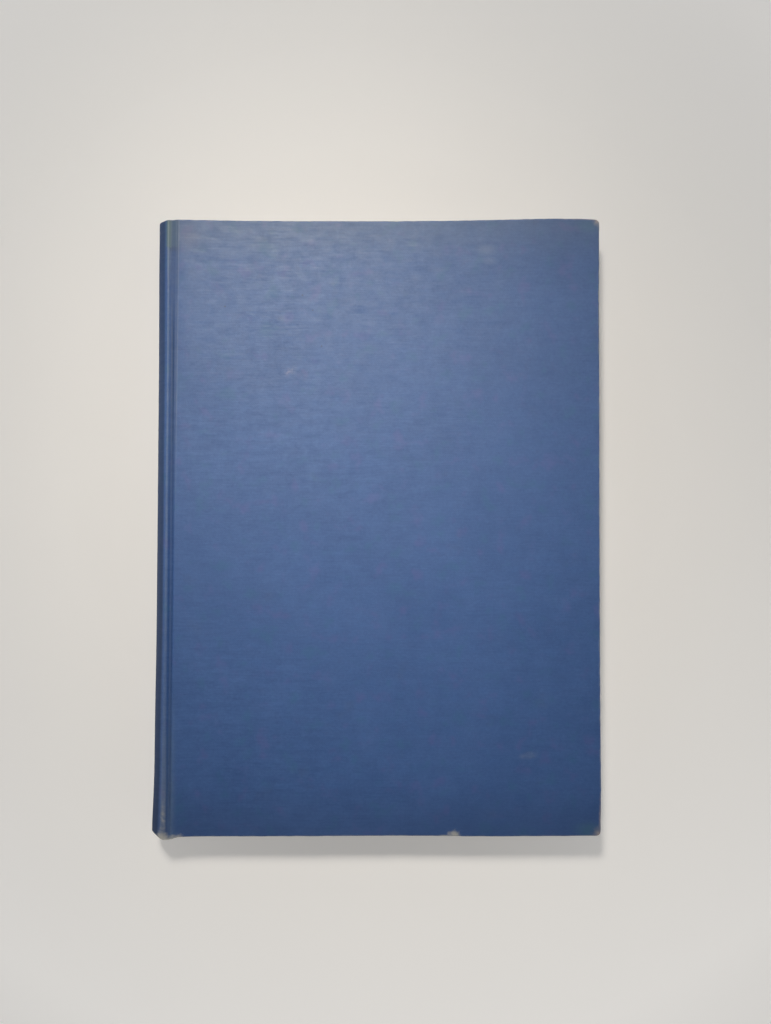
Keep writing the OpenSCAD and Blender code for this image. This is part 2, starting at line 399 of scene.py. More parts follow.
def shape_cloth(v, side, seed):
    """Rounds the corners and adds the unevenness of a used cover. v is x, h, y."""
    x, h, y = v[:, 0].copy(), v[:, 1].copy(), v[:, 2].copy()
    # rounded corners, seen from above
    for end in (1, -1):
        r = (2.0 if end > 0 else 1.8) if side > 0 else 1.6
        a = r - (EDGE_X - x)
        b = r - (EDGE_Y - y * end)
        inside = (a > 0) & (b > 0)
        big = np.maximum(a, b)
        length = np.hypot(a, b)
        scale = np.where(inside, big / np.maximum(length, 1e-9), 1.0)
        x = np.where(inside, EDGE_X - r + a * scale, x)
        y = np.where(inside, end * (EDGE_Y - r + b * scale), y)
    rising = np.clip((h - (KH - 0.256)) / 1.581, 0, 1) * (h > KH - 0.3) * (x > KX + 1.5)
    x = x + slack(x, y, side) * rising
    x, y = case_shape(x, h, y, side)
    # slight unevenness of the faces and the edges
    on_face = smooth(h, 7.6, 8.6) * smooth(x, KX + 3.4, KX + 9)
    h = h + on_face * (0.035 * waves(x, y, seed, 46) + 0.012 * waves(x, y, seed + 1, 13))
    rim = smooth(np.maximum(x - (EDGE_X - 2.5), np.abs(y) - (EDGE_Y - 2.5)), 0, 2.2)
    wobble = 0.035 * waves(x + 3 * h, y, seed + 2, 7) + 0.02 * waves(x, y + 2 * h, seed + 3, 2.6)
    x = x + rim * wobble * smooth(x, 88, 93)
    y = y + rim * wobble * np.sign(y) * smooth(np.abs(y), 124, 128)
    h = h - sink(x, y, side) * np.clip((h - (KH - 0.256)) / 1.581, 0, 1) * (h > KH - 0.3) * (x > KX + 1.5)
    # towards the head the groove was pressed in less deeply
    shallow = (0.10 + 0.32 * smooth(y, -20, 100) if side > 0 else 0.10 + 0.10 * smooth(y, 0, 110)) * \
        smooth(x, KX + 0.2, KX + 1.0) * smooth(h, KH - 1.3, KH - 0.3)
    h = h + shallow * np.clip(KH + 1.0 - h, 0, 1.3) * smooth(-x, -(KX + 3.9), -(KX + 3.0))
    # where the cloth is folded in under itself the joint is less deep
    for end, rise in ((1, 0.26 if side > 0 else 0.12), (-1, 0.10)):
        x0, wide = (2.9, 1.9) if (end > 0 and side > 0) else (1.9, 1.1)
        window = np.exp(-(((x - (KX + x0)) / wide) ** 2)) * smooth(h, 5.5, 6.8) * smooth(h, 8.95, 8.0)
        h = h + rise * window * smooth(end * y + 0.12 * waves(x, y * 0, seed + 9, 3), 115.9, 117.0)
    return np.stack([x, h, y], 1)


def build_cloth(name, side, seed):
    v, f, uv = cloth_half()
    v = shape_cloth(v, side, seed)
    v = np.stack([v[:, 0], v[:, 2], MID + side * v[:, 1]], 1)  # to x, y, z
    uv = np.asarray(uv, float)
    if side < 0:
        f, uv = f[:, ::-1], uv[:, ::-1]
    shell = 2 * len(f)
    v, f, uv = thicken(v, f, uv, CLOTH_T)
    return mesh_object(name, v, f, uv, flat_last=len(f) - shell)


def build_board(name, side, seed):
    """The grey board in a cover: its corners and edges are a little soft, and its outline is the cover's."""
    r = 0.35
    xs = np.r_[BOARD_X, BOARD_X + r * 0.3, BOARD_X + r,
               spread(BOARD_X + 0.8, EDGE_X - 0.36 - 1.0, 0.7, 1.0, 7.0),
               EDGE_X - 0.36 - r, EDGE_X - 0.36 - r * 0.3, EDGE_X - 0.36]
    ys = np.r_[-128, -128 + r * 0.3, -128 + r, spread(-127, 127, 1.0, 1.0, 7.0), 128 - r, 128 - r * 0.3, 128]
    nx, ny = len(xs), len(ys)
    drop_x = np.zeros(nx)
    drop_y = np.zeros(ny)
    for d in (drop_x, drop_y):
        d[0] = d[-1] = r
        d[1] = d[-2] = r * 0.3
    verts, faces = [], []
    top, low = KH + 0.975, KH - 1.525
    X, Y = np.meshgrid(xs, ys)
    D = np.maximum(drop_x[None, :], drop_y[:, None])
    for h, lean in ((top - 0.02 - D, 1.0), (low + D, 0.0)):
        SX = X + lean * slack(X, Y, side)
        H = h - lean * sink(SX, Y, side)
        PX, PY = outline(SX, Y, side, 0.6)
        verts.extend(zip(PX.ravel(), PY.ravel(), H.ravel()))
    n = nx * ny
    for j in range(ny - 1):
        for i in range(nx - 1):
            a, b, c, d = j * nx + i, j * nx + i + 1, (j + 1) * nx + i + 1, (j + 1) * nx + i
            faces.append((a, b, c, d))
            faces.append((n + d, n + c, n + b, n + a))
    ring = [i for i in range(nx)] + [j * nx + nx - 1 for j in range(1, ny)] + \
           [(ny - 1) * nx + i for i in range(nx - 2, -1, -1)] + [j * nx for j in range(ny - 2, 0, -1)]
    for k in range(len(ring)):
        a, b = ring[k], ring[(k + 1) % len(ring)]
        faces.append((b, a, n + a, n + b))
    v = np.array(verts)
    # a hit corner is pressed back a little
    for end, cut in ((1, 1.2), (-1, 1.7)):
        a, b = v[:, 0] - (EDGE_X - 0.36 - cut), v[:, 1] * end - (128 - cut)
        both = np.clip(np.minimum(a, b), 0, None)
        v[:, 0] -= both * 0.42
        v[:, 1] -= both * 0.42 * end
    v[:, 2] = MID + side * v[:, 2]
    if side < 0:
        faces = [f[::-1] for f in faces]
    return mesh_object(name, v, faces)


def build_spine_card(name):
    """The card over which the spine's cloth is drawn. It flares with the cloth."""
    angles = np.linspace(-48.3, 48.3, 41)
    ys = spread(-127.85, 127.85, 0.5, 0.5, 3.0)
    v, f, uv = [], [], []
    for y in ys:
        for a in angles:
            v.append((CX - 9.69 * math.cos(rad(a)), 9.69 * math.sin(rad(a)), y))
    v = np.array(v)
    for side in (1, -1):
        own = v[:, 1] * side > 0 if side > 0 else v[:, 1] <= 0
        v[own, 0], v[own, 2] = case_shape(v[own, 0], np.abs(v[own, 1]), v[own, 2], side)
    n = len(angles)
    for j in range(len(ys) - 1):
        for i in range(n - 1):
            quad = (j * n + i, j * n + i + 1, (j + 1) * n + i + 1, (j + 1) * n + i)
            f.append(quad)
            uv.append([(angles[k % n] * 0.169, ys[k // n]) for k in quad])
    v = np.stack([v[:, 0], v[:, 2], MID + v[:, 1]], 1)
    v, f, uv = thicken(v, f, uv, 0.46)
    return mesh_object(name, v, f, uv)


# ---------------------------------------------------------------- endpapers
def shoulder_h(x):
    xs = [KX + p[0] for p in SHOULDER]
    hs = [KH + p[1] for p in SHOULDER]
    return np.interp(x, xs, hs)


def strip_sheet(name, path, thick, y0, y1, side, rows, wobble=None):
    """A sheet that follows a path of (x, h) and runs from y0 to y1, thickened away from the pages."""
    path = np.array(path, float)
    ys = spread(y0, y1, 0.6, 0.6, rows)
    nx, ny = len(path), len(ys)
    run = np.r_[0, np.cumsum(np.hypot(*np.diff(path, axis=0).T))]
    v, f, uv = [], [], []
    for y in ys:
        for i, (x, h) in enumerate(path):
            v.append((x, y, h))
    v = np.array(v)
    if wobble is not None:
        v = wobble(v)
    for j in range(ny - 1):
        for i in range(nx - 1):
            quad = [j * nx + i, j * nx + i + 1, (j + 1) * nx + i + 1, (j + 1) * nx + i]
            f.append(quad)
            uv.append([(run[k % nx] + path[0, 0], ys[k // nx]) for k in quad])
    f, uv = np.array(f), np.array(uv)
    v[:, 2] = MID + side * v[:, 2]
    if side < 0:
        f, uv = f[:, ::-1], uv[:, ::-1]
    v, f, uv = thicken(v, f, uv, thick)
    return mesh_object(name, v, f, uv)


def build_flyleaf(name, side, seed):
    top = 0.15
    xs = np.r_[np.linspace(KX + 0.36, KX + 3.75, 16), spread(KX + 3.75, PAGE_X, 0.6, 1.0, 3.2)[1:]]
    path = [(x, shoulder_h(x) + top) for x in xs]

    def wobble(v):
        x, y, h = v.T
        lift = smooth(x, KX + 8, KX + 40) * (0.5 + 0.5 * waves(x, y, seed, 60)).clip(0, 1) * 0.07
        edge = 0.10 * waves(y, x * 0, seed + 1, 50) * smooth(x, 80, 88)
        return np.stack([x + edge, y, h + lift], 1)

    return strip_sheet(name, path, 0.12, -PAGE_Y, PAGE_Y, side, 3.2, wobble)


def build_pastedown(name, side, seed):
    """The half of an endpaper that crosses the joint and is pasted to the board. Its free face is
    the one that faces the pages, so the sheet is laid out from that side."""
    joint = [(KX + 0.62, -0.42), (KX + 0.9, -0.68), (KX + 1.3, -0.90), (KX + 1.7, -1.065), (KX + 1.9, -1.15),
             (KX + 2.6, -1.50), (KX + 3.2, -1.805), (KX + 3.6, -1.98), (KX + 3.85, -2.025)]
    jx = np.array([a for a, _ in joint])
    jh = np.array([b for _, b in joint])
    xs = np.r_[np.linspace(jx[0], jx[-1], 22),
               spread(jx[-1], EDGE_X - 0.35 - TURN_IN - 1.9, 0.5, 0.3, 3.0)[1:],
               np.linspace(EDGE_X - 0.35 - TURN_IN - 1.6, EDGE_X - 0.35 - TURN_IN + 0.9, 10),
               spread(EDGE_X - 0.35 - TURN_IN + 1.2, PAGE_X + 0.05, 0.3, 0.6, 2.0)]
    step_y = EDGE_Y - 0.35 - TURN_IN
    ys = np.r_[spread(-PAGE_Y, -step_y - 1.2, 0.6, 0.3, 2.4), np.linspace(-step_y - 0.9, -step_y + 1.8, 11),
               spread(-step_y + 2.1, step_y - 2.1, 0.3, 0.3, 3.0), np.linspace(step_y - 1.8, step_y + 0.9, 11),
               spread(step_y + 1.2, PAGE_Y, 0.3, 0.6, 2.4)]
    X, Y = np.meshgrid(xs, ys)
    H = KH + np.interp(X, jx, jh)
    # in the middle the paper lies on the board itself, one cloth higher than on the folded-in cloth
    _, cut_y = outline(X, np.sign(Y) * step_y, side)
    cut_x, _ = outline(np.full_like(X, EDGE_X - 0.35 - TURN_IN), Y, side)
    middle = smooth(np.abs(cut_y) - np.abs(Y), 0.15, 1.2) * smooth(cut_x - X, 0.15, 1.2) * \
        smooth(X, KX + 3.6, KX + 4.2)
    H = H + 0.33 * middle
    H = H + smooth(X, KX + 6, KX + 14) * 0.018 * waves(X, Y, seed, 24)
    nx, ny = len(xs), len(ys)
    run = np.r_[0, np.cumsum(np.hypot(np.diff(xs), np.diff(H[ny // 2])))]
    v = np.stack([X.ravel(), Y.ravel(), MID + side * H.ravel()], 1)
    f, uv = [], []
    for j in range(ny - 1):
        for i in range(nx - 1):
            quad = [j * nx + i, (j + 1) * nx + i, (j + 1) * nx + i + 1, j * nx + i + 1]
            f.append(quad)
            uv.append([(xs[0] + run[k % nx], ys[k // nx]) for k in quad])
    f, uv = np.array(f), np.array(uv)
    if side < 0:
        f, uv = f[:, ::-1], uv[:, ::-1]
    v, f, uv = thicken(v, f, uv, 0.13)
    return mesh_object(name, v, f, uv)


# ---------------------------------------------------------------- pages
def build_pages(name):
    rng = np.random.default_rng(11)
    leaves = 104
    fore_r = (FLAT ** 2 + 3.0 ** 2) / 6.0
    per_leaf = []
    signature = rng.normal(0, 1, (leaves // 8 + 2, 4))
    for i in range(leaves):
        s = signature[i // 8]
        per_leaf.append((0.035 * s[0] + rng.normal(0, 0.028), 0.03 * s[1] + rng.normal(0, 0.02),
                         0.03 * s[2] + rng.normal(0, 0.02), rng.uniform(0, 1)))
    levels = [(-1.0, 0, "cut")]
    for i in range(leaves):
        lo, hi = -1 + 2 * i / leaves, -1 + 2 * (i + 1) / leaves
        deep = 1.7 if i % 8 == 7 else 1.0
        levels += [(lo + 0.18 * (hi - lo), i, "leaf"), (hi - 0.18 * (hi - lo), i, "leaf"),
                   (hi, i, "gap" if i < leaves - 1 else "cut")]
    xs_rel = np.r_[np.linspace(KX + 0.32, KX + 4.4, 13), spread(KX + 4.4, PAGE_X, 1.2, 1.5, 5.0)[1:]]
    near = 7  # columns between the folds and the shoulder
    ys = spread(-PAGE_Y, PAGE_Y, 1.2, 1.2, 5.2)
    nc, ny = near + len(xs_rel), len(ys)

    def level_columns(u):
        a = rad(58 * u)
        xs = CX - BLOCK_R * math.cos(a)
        lead = np.linspace(xs, KX + 0.32, near + 1)[:-1]
        if xs > KX + 0.2:  # the outermost leaves begin at the shoulder's tip
            lead = np.linspace(xs, max(xs + 0.05, KX + 0.32), near + 1)[:-1]
        fore = PAGE_X - 3.0 + fore_r - math.sqrt(fore_r ** 2 - (FLAT * u) ** 2)
        base = xs_rel.copy()
        base = np.where(base > KX + 4.4, KX + 4.4 + (base - KX - 4.4) * (fore - KX - 4.4) / (PAGE_X - KX - 4.4), base)
        x = np.r_[lead, np.maximum(base, lead[-1] + 0.02)]
        e = (shoulder_h(np.maximum(x, KX + 0.318)) - FLAT) / (shoulder_h(KX + 0.318) - FLAT)
        h = (1 - e) * FLAT * u + e * BLOCK_R * math.sin(a)
        return x, h

    verts, tint = [], []

    def wave_h(x, y, u):
        return 0.05 * (1 - u ** 4) * smooth(x, 20, 85) * waves(x * 0.6, y, 5, 70)

    perims = []
    for u, i, kind in levels:
        x, h = level_columns(u)
        fo, he, ta, _t = per_leaf[i]
        if kind == "gap":
            nxt = per_leaf[i + 1]
            deep = 0.10 if i % 8 == 7 else 0.055
            fo, he, ta = min(fo, nxt[0]) - deep, min(he, nxt[1]) - deep, min(ta, nxt[2]) - deep
        if kind == "cut":
            fo, he, ta = 0.0, 0.0, 0.0
        ring = []
        for c in range(nc):  # head, from the folds to the fore-edge
            ring.append((x[c] + (fo if c == nc - 1 else 0), PAGE_Y + he, h[c]))
        for j in range(ny - 2, 0, -1):
            ring.append((x[-1] + fo + 0.03 * math.sin(ys[j] * 0.11 + i * 0.13), ys[j], h[-1]))
        for c in range(nc - 1, -1, -1):
            ring.append((x[c] + (fo if c == nc - 1 else 0), -PAGE_Y - ta, h[c]))
        for j in range(1, ny - 1):
            ring.append((x[0], ys[j], h[0]))
        ring = np.array(ring)
        ring[:, 2] += wave_h(ring[:, 0], ring[:, 1], u)
        perims.append(len(verts))
        verts.extend(map(tuple, ring))
        # the rings in the gaps take half their leaf's tone: painted shade between the leaves
        shade = _t if kind == "leaf" else _t * 0.5
        tint.extend([shade] * len(ring))
    m = 2 * nc + 2 * (ny - 2)
    faces = []
    for a, b in zip(perims[:-1], perims[1:]):
        for k in range(m):
            n2 = (k + 1) % m
            faces.append((a + n2, a + k, b + k, b + n2))
    # upper and lower face of the block
    for base, (u, i, kind), up in ((perims[0], levels[0], False), (perims[-1], levels[-1], True)):
        x, h = level_columns(u)
        idx = np.zeros((nc, ny), int)
        for c in range(nc):
            idx[c, ny - 1] = base + c
            idx[c, 0] = base + nc + (ny - 2) + (nc - 1 - c)
        for j in range(1, ny - 1):
            idx[nc - 1, j] = base + nc + (ny - 2 - j)
            idx[0, j] = base + 2 * nc + (ny - 2) + (j - 1)
        for c in range(1, nc - 1):
            for j in range(1, ny - 1):
                idx[c, j] = len(verts)
                verts.append((x[c], ys[j], h[c]))
                tint.append(0.5)
        for c in range(nc - 1):
            for j in range(ny - 1):
                quad = (idx[c, j], idx[c + 1, j], idx[c + 1, j + 1], idx[c, j + 1])
                faces.append(quad if up else quad[::-1])
    v = np.array(verts)
    v[:, 2] += MID
    ob = mesh_object(name, v, faces, smooth_shade=False)
    attribute = ob.data.attributes.new("leaf", "FLOAT", "POINT")
    attribute.data.foreach_set("value", np.asarray(tint, np.float32))
    return ob


# ---------------------------------------------------------------- bands
def build_band(name, end):
    """A cord wound with thread in two colours, on the tape that is glued to the folds."""
    ring_r, tube, half = 7.90019, 0.80, 48.3
    wraps, per = 34, 7
    count = wraps * per + 1
    sides = 18
    v, f, uv = [], [], []
    for i in range(count):
        t = i / (count - 1)
        a = rad(-half + 2 * half * t)
        end_fade = min(1.0, min(t, 1 - t) * 30 + 0.72)
        for s in range(sides):
            b = 2 * math.pi * s / sides
            # the wraps lean a little round the cord
            lean = 0.10 * math.sin(b)
            ph = (t * wraps + lean) % 1.0
            bulge = 0.06 * (abs(math.sin(math.pi * ph)) ** 0.6) - 0.03
            r = (tube + bulge) * end_fade
            rr = ring_r + r * math.cos(b)
            v.append((CX - rr * math.cos(a), end * (125.92 + r * math.sin(b)), MID + rr * math.sin(a)))
    for i in range(count - 1):
        for s in range(sides):
            s2 = (s + 1) % sides
            quad = (i * sides + s, i * sides + s2, (i + 1) * sides + s2, (i + 1) * sides + s)
            f.append(quad if end > 0 else quad[::-1])
            t0, t1 = i / (count - 1) * wraps, (i + 1) / (count - 1) * wraps
            c = [(t0, s / sides), (t0, (s + 1) / sides), (t1, (s + 1) / sides), (t1, s / sides)]
            uv.append(c if end > 0 else c[::-1])
    # ends of the cord
    for i, flip in ((0, True), (count - 1, False)):
        centre = len(v)
        a = rad(-half if i == 0 else half)
        v.append((CX - ring_r * math.cos(a), end * 125.92, MID + ring_r * math.sin(a)))
        for s in range(0, sides, 2):
            quad = [i * sides + s, i * sides + (s + 1) % sides, i * sides + (s + 2) % sides, centre]
            if flip == (end > 0):
                quad = quad[::-1]
            f.append(tuple(quad))
            uv.append([(0.0 if i == 0 else wraps, 0.5)] * 4)
    # tape
    top, low, deg = 8.565, 8.455, 53.0
    ts = np.linspace(-deg, deg, 45)
    ys = np.linspace(113.0, 125.55, 12)
    base = len(v)
    tv, tf, tuv = [], [], []
    for y in ys:
        for a in ts:
            tv.append((CX - top * math.cos(rad(a)), end * y, MID + top * math.sin(rad(a))))
    n = len(ts)
    for j in range(len(ys) - 1):
        for i in range(n - 1):
            quad = [j * n + i, j * n + i + 1, (j + 1) * n + i + 1, (j + 1) * n + i]
            cuv = [(-100 + ts[k % n] * 0.1476, ys[k // n]) for k in quad]
            if end > 0:
                quad, cuv = quad[::-1], cuv[::-1]
            tf.append(quad)
            tuv.append(cuv)
    tv, tf, tuv = thicken(np.array(tv), np.array(tf), np.array(tuv), top - low)
    f += [tuple(int(k) + base for k in q) for q in tf]
    uv += [list(map(tuple, c)) for c in tuv]
    v += [tuple(p) for p in tv]
    return mesh_object(name, np.array(v), f, np.array(uv))


# ---------------------------------------------------------------- materials
class Nodes:
    """Small helper to write node trees as expressions."""

    def __init__(self, name):
        self.mat = bpy.data.materials.new(name)
        self.mat.use_nodes = True
        self.nt = self.mat.node_tree
        self.nt.nodes.clear()
        self.out = self.nt.nodes.new("ShaderNodeOutputMaterial")
        self.bsdf = self.nt.nodes.new("ShaderNodeBsdfPrincipled")
        self.nt.links.new(self.bsdf.outputs[0], self.out.inputs[0])

    def put(self, socket, value):
        if hasattr(value, "is_linked") or isinstance(value, bpy.types.NodeSocket):
            self.nt.links.new(value, socket)
        elif isinstance(value, (tuple, list)) and len(value) == 3 and socket.type == "RGBA":
            socket.default_value = (*value, 1.0)
        else:
            socket.default_value = value

    def node(self, kind, **props):
        n = self.nt.nodes.new(kind)
        for k, v in props.items():
            setattr(n, k, v)
        return n

    def uv(self, name="flat"):
        return self.node("ShaderNodeUVMap", uv_map=name).outputs[0]

    def attribute(self, name):
        return self.node("ShaderNodeAttribute", attribute_name=name).outputs["Fac"]

    def object_mm(self):
        n = self.node("ShaderNodeVectorMath", operation="SCALE")
        self.nt.links.new(self.node("ShaderNodeTexCoord").outputs["Object"], n.inputs[0])
        n.inputs["Scale"].default_value = 1000.0
        return n.outputs[0]

    def split(self, v):
        n = self.node("ShaderNodeSeparateXYZ")
        self.put(n.inputs[0], v)
        return n.outputs[0], n.outputs[1], n.outputs[2]

    def join(self, x=0.0, y=0.0, z=0.0):
        n = self.node("ShaderNodeCombineXYZ")
        for s, v in zip(n.inputs, (x, y, z)):
            self.put(s, v)
        return n.outputs[0]

    def math(self, op, a, b=0.0, clamp=False):
        n = self.node("ShaderNodeMath", operation=op, use_clamp=clamp)
        self.put(n.inputs[0], a)
        self.put(n.inputs[1], b)
        return n.outputs[0]

    def add(self, a, b):
        return self.math("ADD", a, b)

    def sub(self, a, b):
        return self.math("SUBTRACT", a, b)

    def mul(self, a, b):
        return self.math("MULTIPLY", a, b)

    def ramp(self, v, a, b, c=0.0, d=1.0):
        n = self.node("ShaderNodeMapRange", interpolation_type="SMOOTHSTEP")
        self.put(n.inputs["Value"], v)
        for s, x in (("From Min", a), ("From Max", b), ("To Min", c), ("To Max", d)):
            self.put(n.inputs[s], x)
        return n.outputs[0]

    def scale(self, v, x, y, z=1.0):
        n = self.node("ShaderNodeVectorMath", operation="MULTIPLY")
        self.put(n.inputs[0], v)
        n.inputs[1].default_value = (x, y, z)
        return n.outputs[0]

    def shift(self, v, x, y, z=0.0):
        n = self.node("ShaderNodeVectorMath", operation="ADD")
        self.put(n.inputs[0], v)
        n.inputs[1].default_value = (x, y, z)
        return n.outputs[0]

    def noise(self, v, size, detail=2.0, rough=0.5, dims="2D", distortion=0.0, color=False):
        """size is the length of one feature in the units of v."""
        n = self.node("ShaderNodeTexNoise", noise_dimensions=dims)
        self.put(n.inputs["Vector"], v)
        n.inputs["Scale"].default_value = 1.0 / size
        n.inputs["Detail"].default_value = detail
        n.inputs["Roughness"].default_value = rough
        n.inputs["Distortion"].default_value = distortion
        return n.outputs["Color" if color else "Fac"]

    def voronoi(self, v, size, feature="F1", dims="2D"):
        n = self.node("ShaderNodeTexVoronoi", voronoi_dimensions=dims, feature=feature)
        self.put(n.inputs["Vector"], v)
        n.inputs["Scale"].default_value = 1.0 / size
        return n.outputs["Distance"], n.outputs["Color"]

    def mix(self, f, a, b, blend="MIX"):
        n = self.node("ShaderNodeMix", data_type="RGBA", blend_type=blend)
        self.put(n.inputs[0], f)
        self.put(n.inputs[6], a)
        self.put(n.inputs[7], b)
        return n.outputs[2]

    def spot(self, v, x, y, rx, ry, soft=0.5, angle=0.0):
        """1 inside an ellipse of the flat cloth, fading to 0 outside it."""
        m = self.node("ShaderNodeMapping", vector_type="TEXTURE")
        self.put(m.inputs["Vector"], v)
        m.inputs["Location"].default_value = (x, y, 0)
        m.inputs["Rotation"].default_value = (0, 0, angle)
        m.inputs["Scale"].default_value = (rx, ry, 1)
        n = self.node("ShaderNodeVectorMath", operation="LENGTH")
        self.nt.links.new(m.outputs[0], n.inputs[0])
        return self.ramp(n.outputs["Value"], 1 + soft, 1 - soft)

    def most(self, *values):
        out = values[0]
        for v in values[1:]:
            out = self.math("MAXIMUM", out, v)
        return out

    def bump(self, height, distance, strength=1.0, normal=None):
        n = self.node("ShaderNodeBump")
        n.inputs["Strength"].default_value = strength
        n.inputs["Distance"].default_value = distance * MM
        self.put(n.inputs["Height"], height)
        if normal is not None:
            self.put(n.inputs["Normal"], normal)
        return n.outputs[0]

    def set(self, **sockets):
        names = {"color": "Base Color", "rough": "Roughness", "normal": "Normal", "spec": "Specular IOR Level",
                 "tint": "Specular Tint", "sheen": "Sheen Weight", "sheen_rough": "Sheen Roughness",
                 "sheen_tint": "Sheen Tint"}
        for k, v in sockets.items():
            self.put(self.bsdf.inputs[names[k]], v)
        return self.mat


def cloth_material(name, front):
    m = Nodes(name)
    uv = m.uv()
    u, v, _ = m.split(uv)
    av = m.math("ABSOLUTE", v)
    seed = 0.0 if front else 431.0
    at = m.shift(uv, seed, seed * 0.7)

    # plain weave: raised crossings of warp and weft, with uneven threads
    wob = m.noise(m.scale(at, 0.35, 1.2), 3.0, 1.0, color=True)
    wob = m.scale(m.shift(wob, -0.5, -0.5, -0.5), 0.35, 0.25, 0.0)
    n = m.node("ShaderNodeVectorMath", operation="ADD")
    m.put(n.inputs[0], at)
    m.put(n.inputs[1], wob)
    wu, wv, _ = m.split(n.outputs[0])
    pitch_u, pitch_v = 0.42, 0.38
    su = m.math("SINE", m.mul(wu, math.pi / pitch_u))
    sv = m.math("SINE", m.mul(wv, math.pi / pitch_v))
    weave = m.add(m.mul(m.mul(su, sv), 0.5), 0.5)
    gaps = m.mul(m.math("POWER", m.math("ABSOLUTE", m.math("SINE", m.mul(wu, math.pi / pitch_u))), 0.5),
                 m.math("POWER", m.math("ABSOLUTE", m.math("SINE", m.mul(wv, math.pi / pitch_v))), 0.5))

    # slubs of the weft across the book, and fainter ones of the warp
    weft = m.noise(m.scale(at, 1 / 11.0, 1 / 0.85), 1.0, 3.0, 0.6, distortion=0.25)
    weft2 = m.noise(m.scale(m.shift(at, 57.0, 91.0), 1 / 24.0, 1 / 2.1), 1.0, 3.0, 0.55, distortion=0.3)
    warp = m.noise(m.scale(m.shift(at, 11.0, 23.0), 1 / 0.9, 1 / 14.0), 1.0, 3.0, 0.6)
    blot = m.noise(m.scale(m.shift(at, 81.0, 37.0), 1 / 5.2, 1 / 3.0), 1.0, 4.0, 0.66, distortion=0.4)
    streak = m.add(m.add(m.mul(m.sub(weft, 0.5), 0.46), m.mul(m.sub(weft2, 0.5), 0.55)),
                   m.add(m.mul(m.sub(warp, 0.5), 0.24), m.mul(m.sub(blot, 0.5), 0.85)))
    # they show most towards the spine
    show = m.noise(m.shift(at, 301.0, 77.0), 70.0, 1.0)
    bias = m.ramp(u, 60.0, -60.0, 0.6, 1.2)
    streak = m.mul(streak, m.mul(bias, m.ramp(show, 0.3, 0.7, 0.7, 1.25)))
    mottle = m.noise(m.shift(at, 150.0, 19.0), 34.0, 3.0, 0.55)
    mottle2 = m.noise(m.shift(at, 15.0, 219.0), 8.0, 4.0, 0.62)
    grain = m.noise(at, 0.42, 1.0, 0.6)
    speck = m.noise(m.scale(m.shift(at, 7.0, 303.0), 1 / 1.5, 1 / 0.95), 1.0, 2.0, 0.7)

    value = m.add(m.mul(streak, 0.52), m.add(m.mul(m.sub(mottle, 0.5), 0.36),
                  m.add(m.mul(m.sub(mottle2, 0.5), 0.40), m.add(m.mul(m.sub(grain, 0.5), 0.42), m.mul(m.sub(speck, 0.5), 0.50)))))
    value = m.add(value, m.mul(m.sub(gaps, 0.65), 0.20))
    value = m.add(value, 0.5)
    base = m.mix(value, (0.019, 0.073, 0.239), (0.061, 0.148, 0.390))
    # patches where the dye has turned a little towards violet or green
    hue = m.noise(m.shift(at, 77.0, 5.0), 9.0, 2.0, 0.6)
    base = m.mix(m.ramp(hue, 0.58, 0.80, 0.0, 0.40), base, (0.085, 0.105, 0.330))
    base = m.mix(m.ramp(hue, 0.42, 0.22, 0.0, 0.40), base, (0.028, 0.125, 0.272))
    crest_u = KX + 3.557 - (0.52 + 1.075 + 1.536 + 0.8) - 0.95  # length of the cloth at the crest

    fine = m.noise(at, 1.3, 4.0, 0.65)
    fine2 = m.noise(m.shift(at, 9.0, 61.0), 4.5, 3.0, 0.6)
    ground = m.mix(fine2, (0.45, 0.44, 0.40), (0.64, 0.62, 0.57))  # bare threads and sizing
    # painted shade darkens the tail a little, and a painted highlight greys the head, as the haze of the light's
    # reflection
    base = m.mix(m.ramp(v, -104.0, -127.5, 0.0, 0.30), base, (0.020, 0.050, 0.150))
    base = m.mix(m.ramp(v, 108.0, 127.5, 0.0, 0.15), base, (0.13, 0.15, 0.13))
    # painted shade: the spine is darker, more so towards the tail
    base = m.mix(m.mul(m.ramp(u, crest_u - 0.5, crest_u - 2.2), m.ramp(v, 80.0, -50.0, 0.74, 0.90)), base, (0.011, 0.034, 0.105))
    rubbed = m.mix(0.60, base, (0.33, 0.375, 0.39))

    # rubbing along the shoulder, strongest at head and tail
    line_u = m.add(crest_u + 0.25, m.add(m.ramp(v, 0.0, 126.0, 0.0, 0.35), m.ramp(v, -40.0, -126.0, 0.0, 0.15)))
    near = m.math("ABSOLUTE", m.sub(u, line_u))
    ends = m.most(m.ramp(v, 95.0, 122.0), m.ramp(v, -60.0, -118.0)) if front else m.ramp(av, 85.0, 124.0)
    wide = m.add(0.74, m.mul(ends, 0.45))
    line = m.ramp(m.math("DIVIDE", near, wide), 1.25, 0.45)
    broken = m.ramp(m.add(fine2, m.mul(ends, 0.22)), 0.28, 0.62, 0.55, 1.0)
    ridge = m.mul(m.mul(line, broken), m.add(m.ramp(v, 10.0, -80.0, 0.28, 0.22), m.mul(ends, 0.18)))

    # rubbing along the outer edges of the boards
    fore = m.ramp(m.math("ABSOLUTE", m.sub(u, EDGE_X - 0.05)), 0.95, 0.15)
    ends_e = m.ramp(m.math("ABSOLUTE", m.sub(av, EDGE_Y - 0.05)), 0.95, 0.15)
    edges = m.most(m.mul(fore, m.ramp(fine2, 0.38, 0.72, 0.12, 0.75)), m.mul(ends_e, m.ramp(fine2, 0.40, 0.75, 0.08, 0.65)))
    corner_in = m.math("MINIMUM", m.ramp(u, EDGE_X - 5.0, EDGE_X + 0.2), m.ramp(av, EDGE_Y - 5.0, EDGE_Y + 0.2))
    corner = m.ramp(m.add(corner_in, m.mul(m.sub(fine, 0.5), 0.5)), 0.55, 0.95)

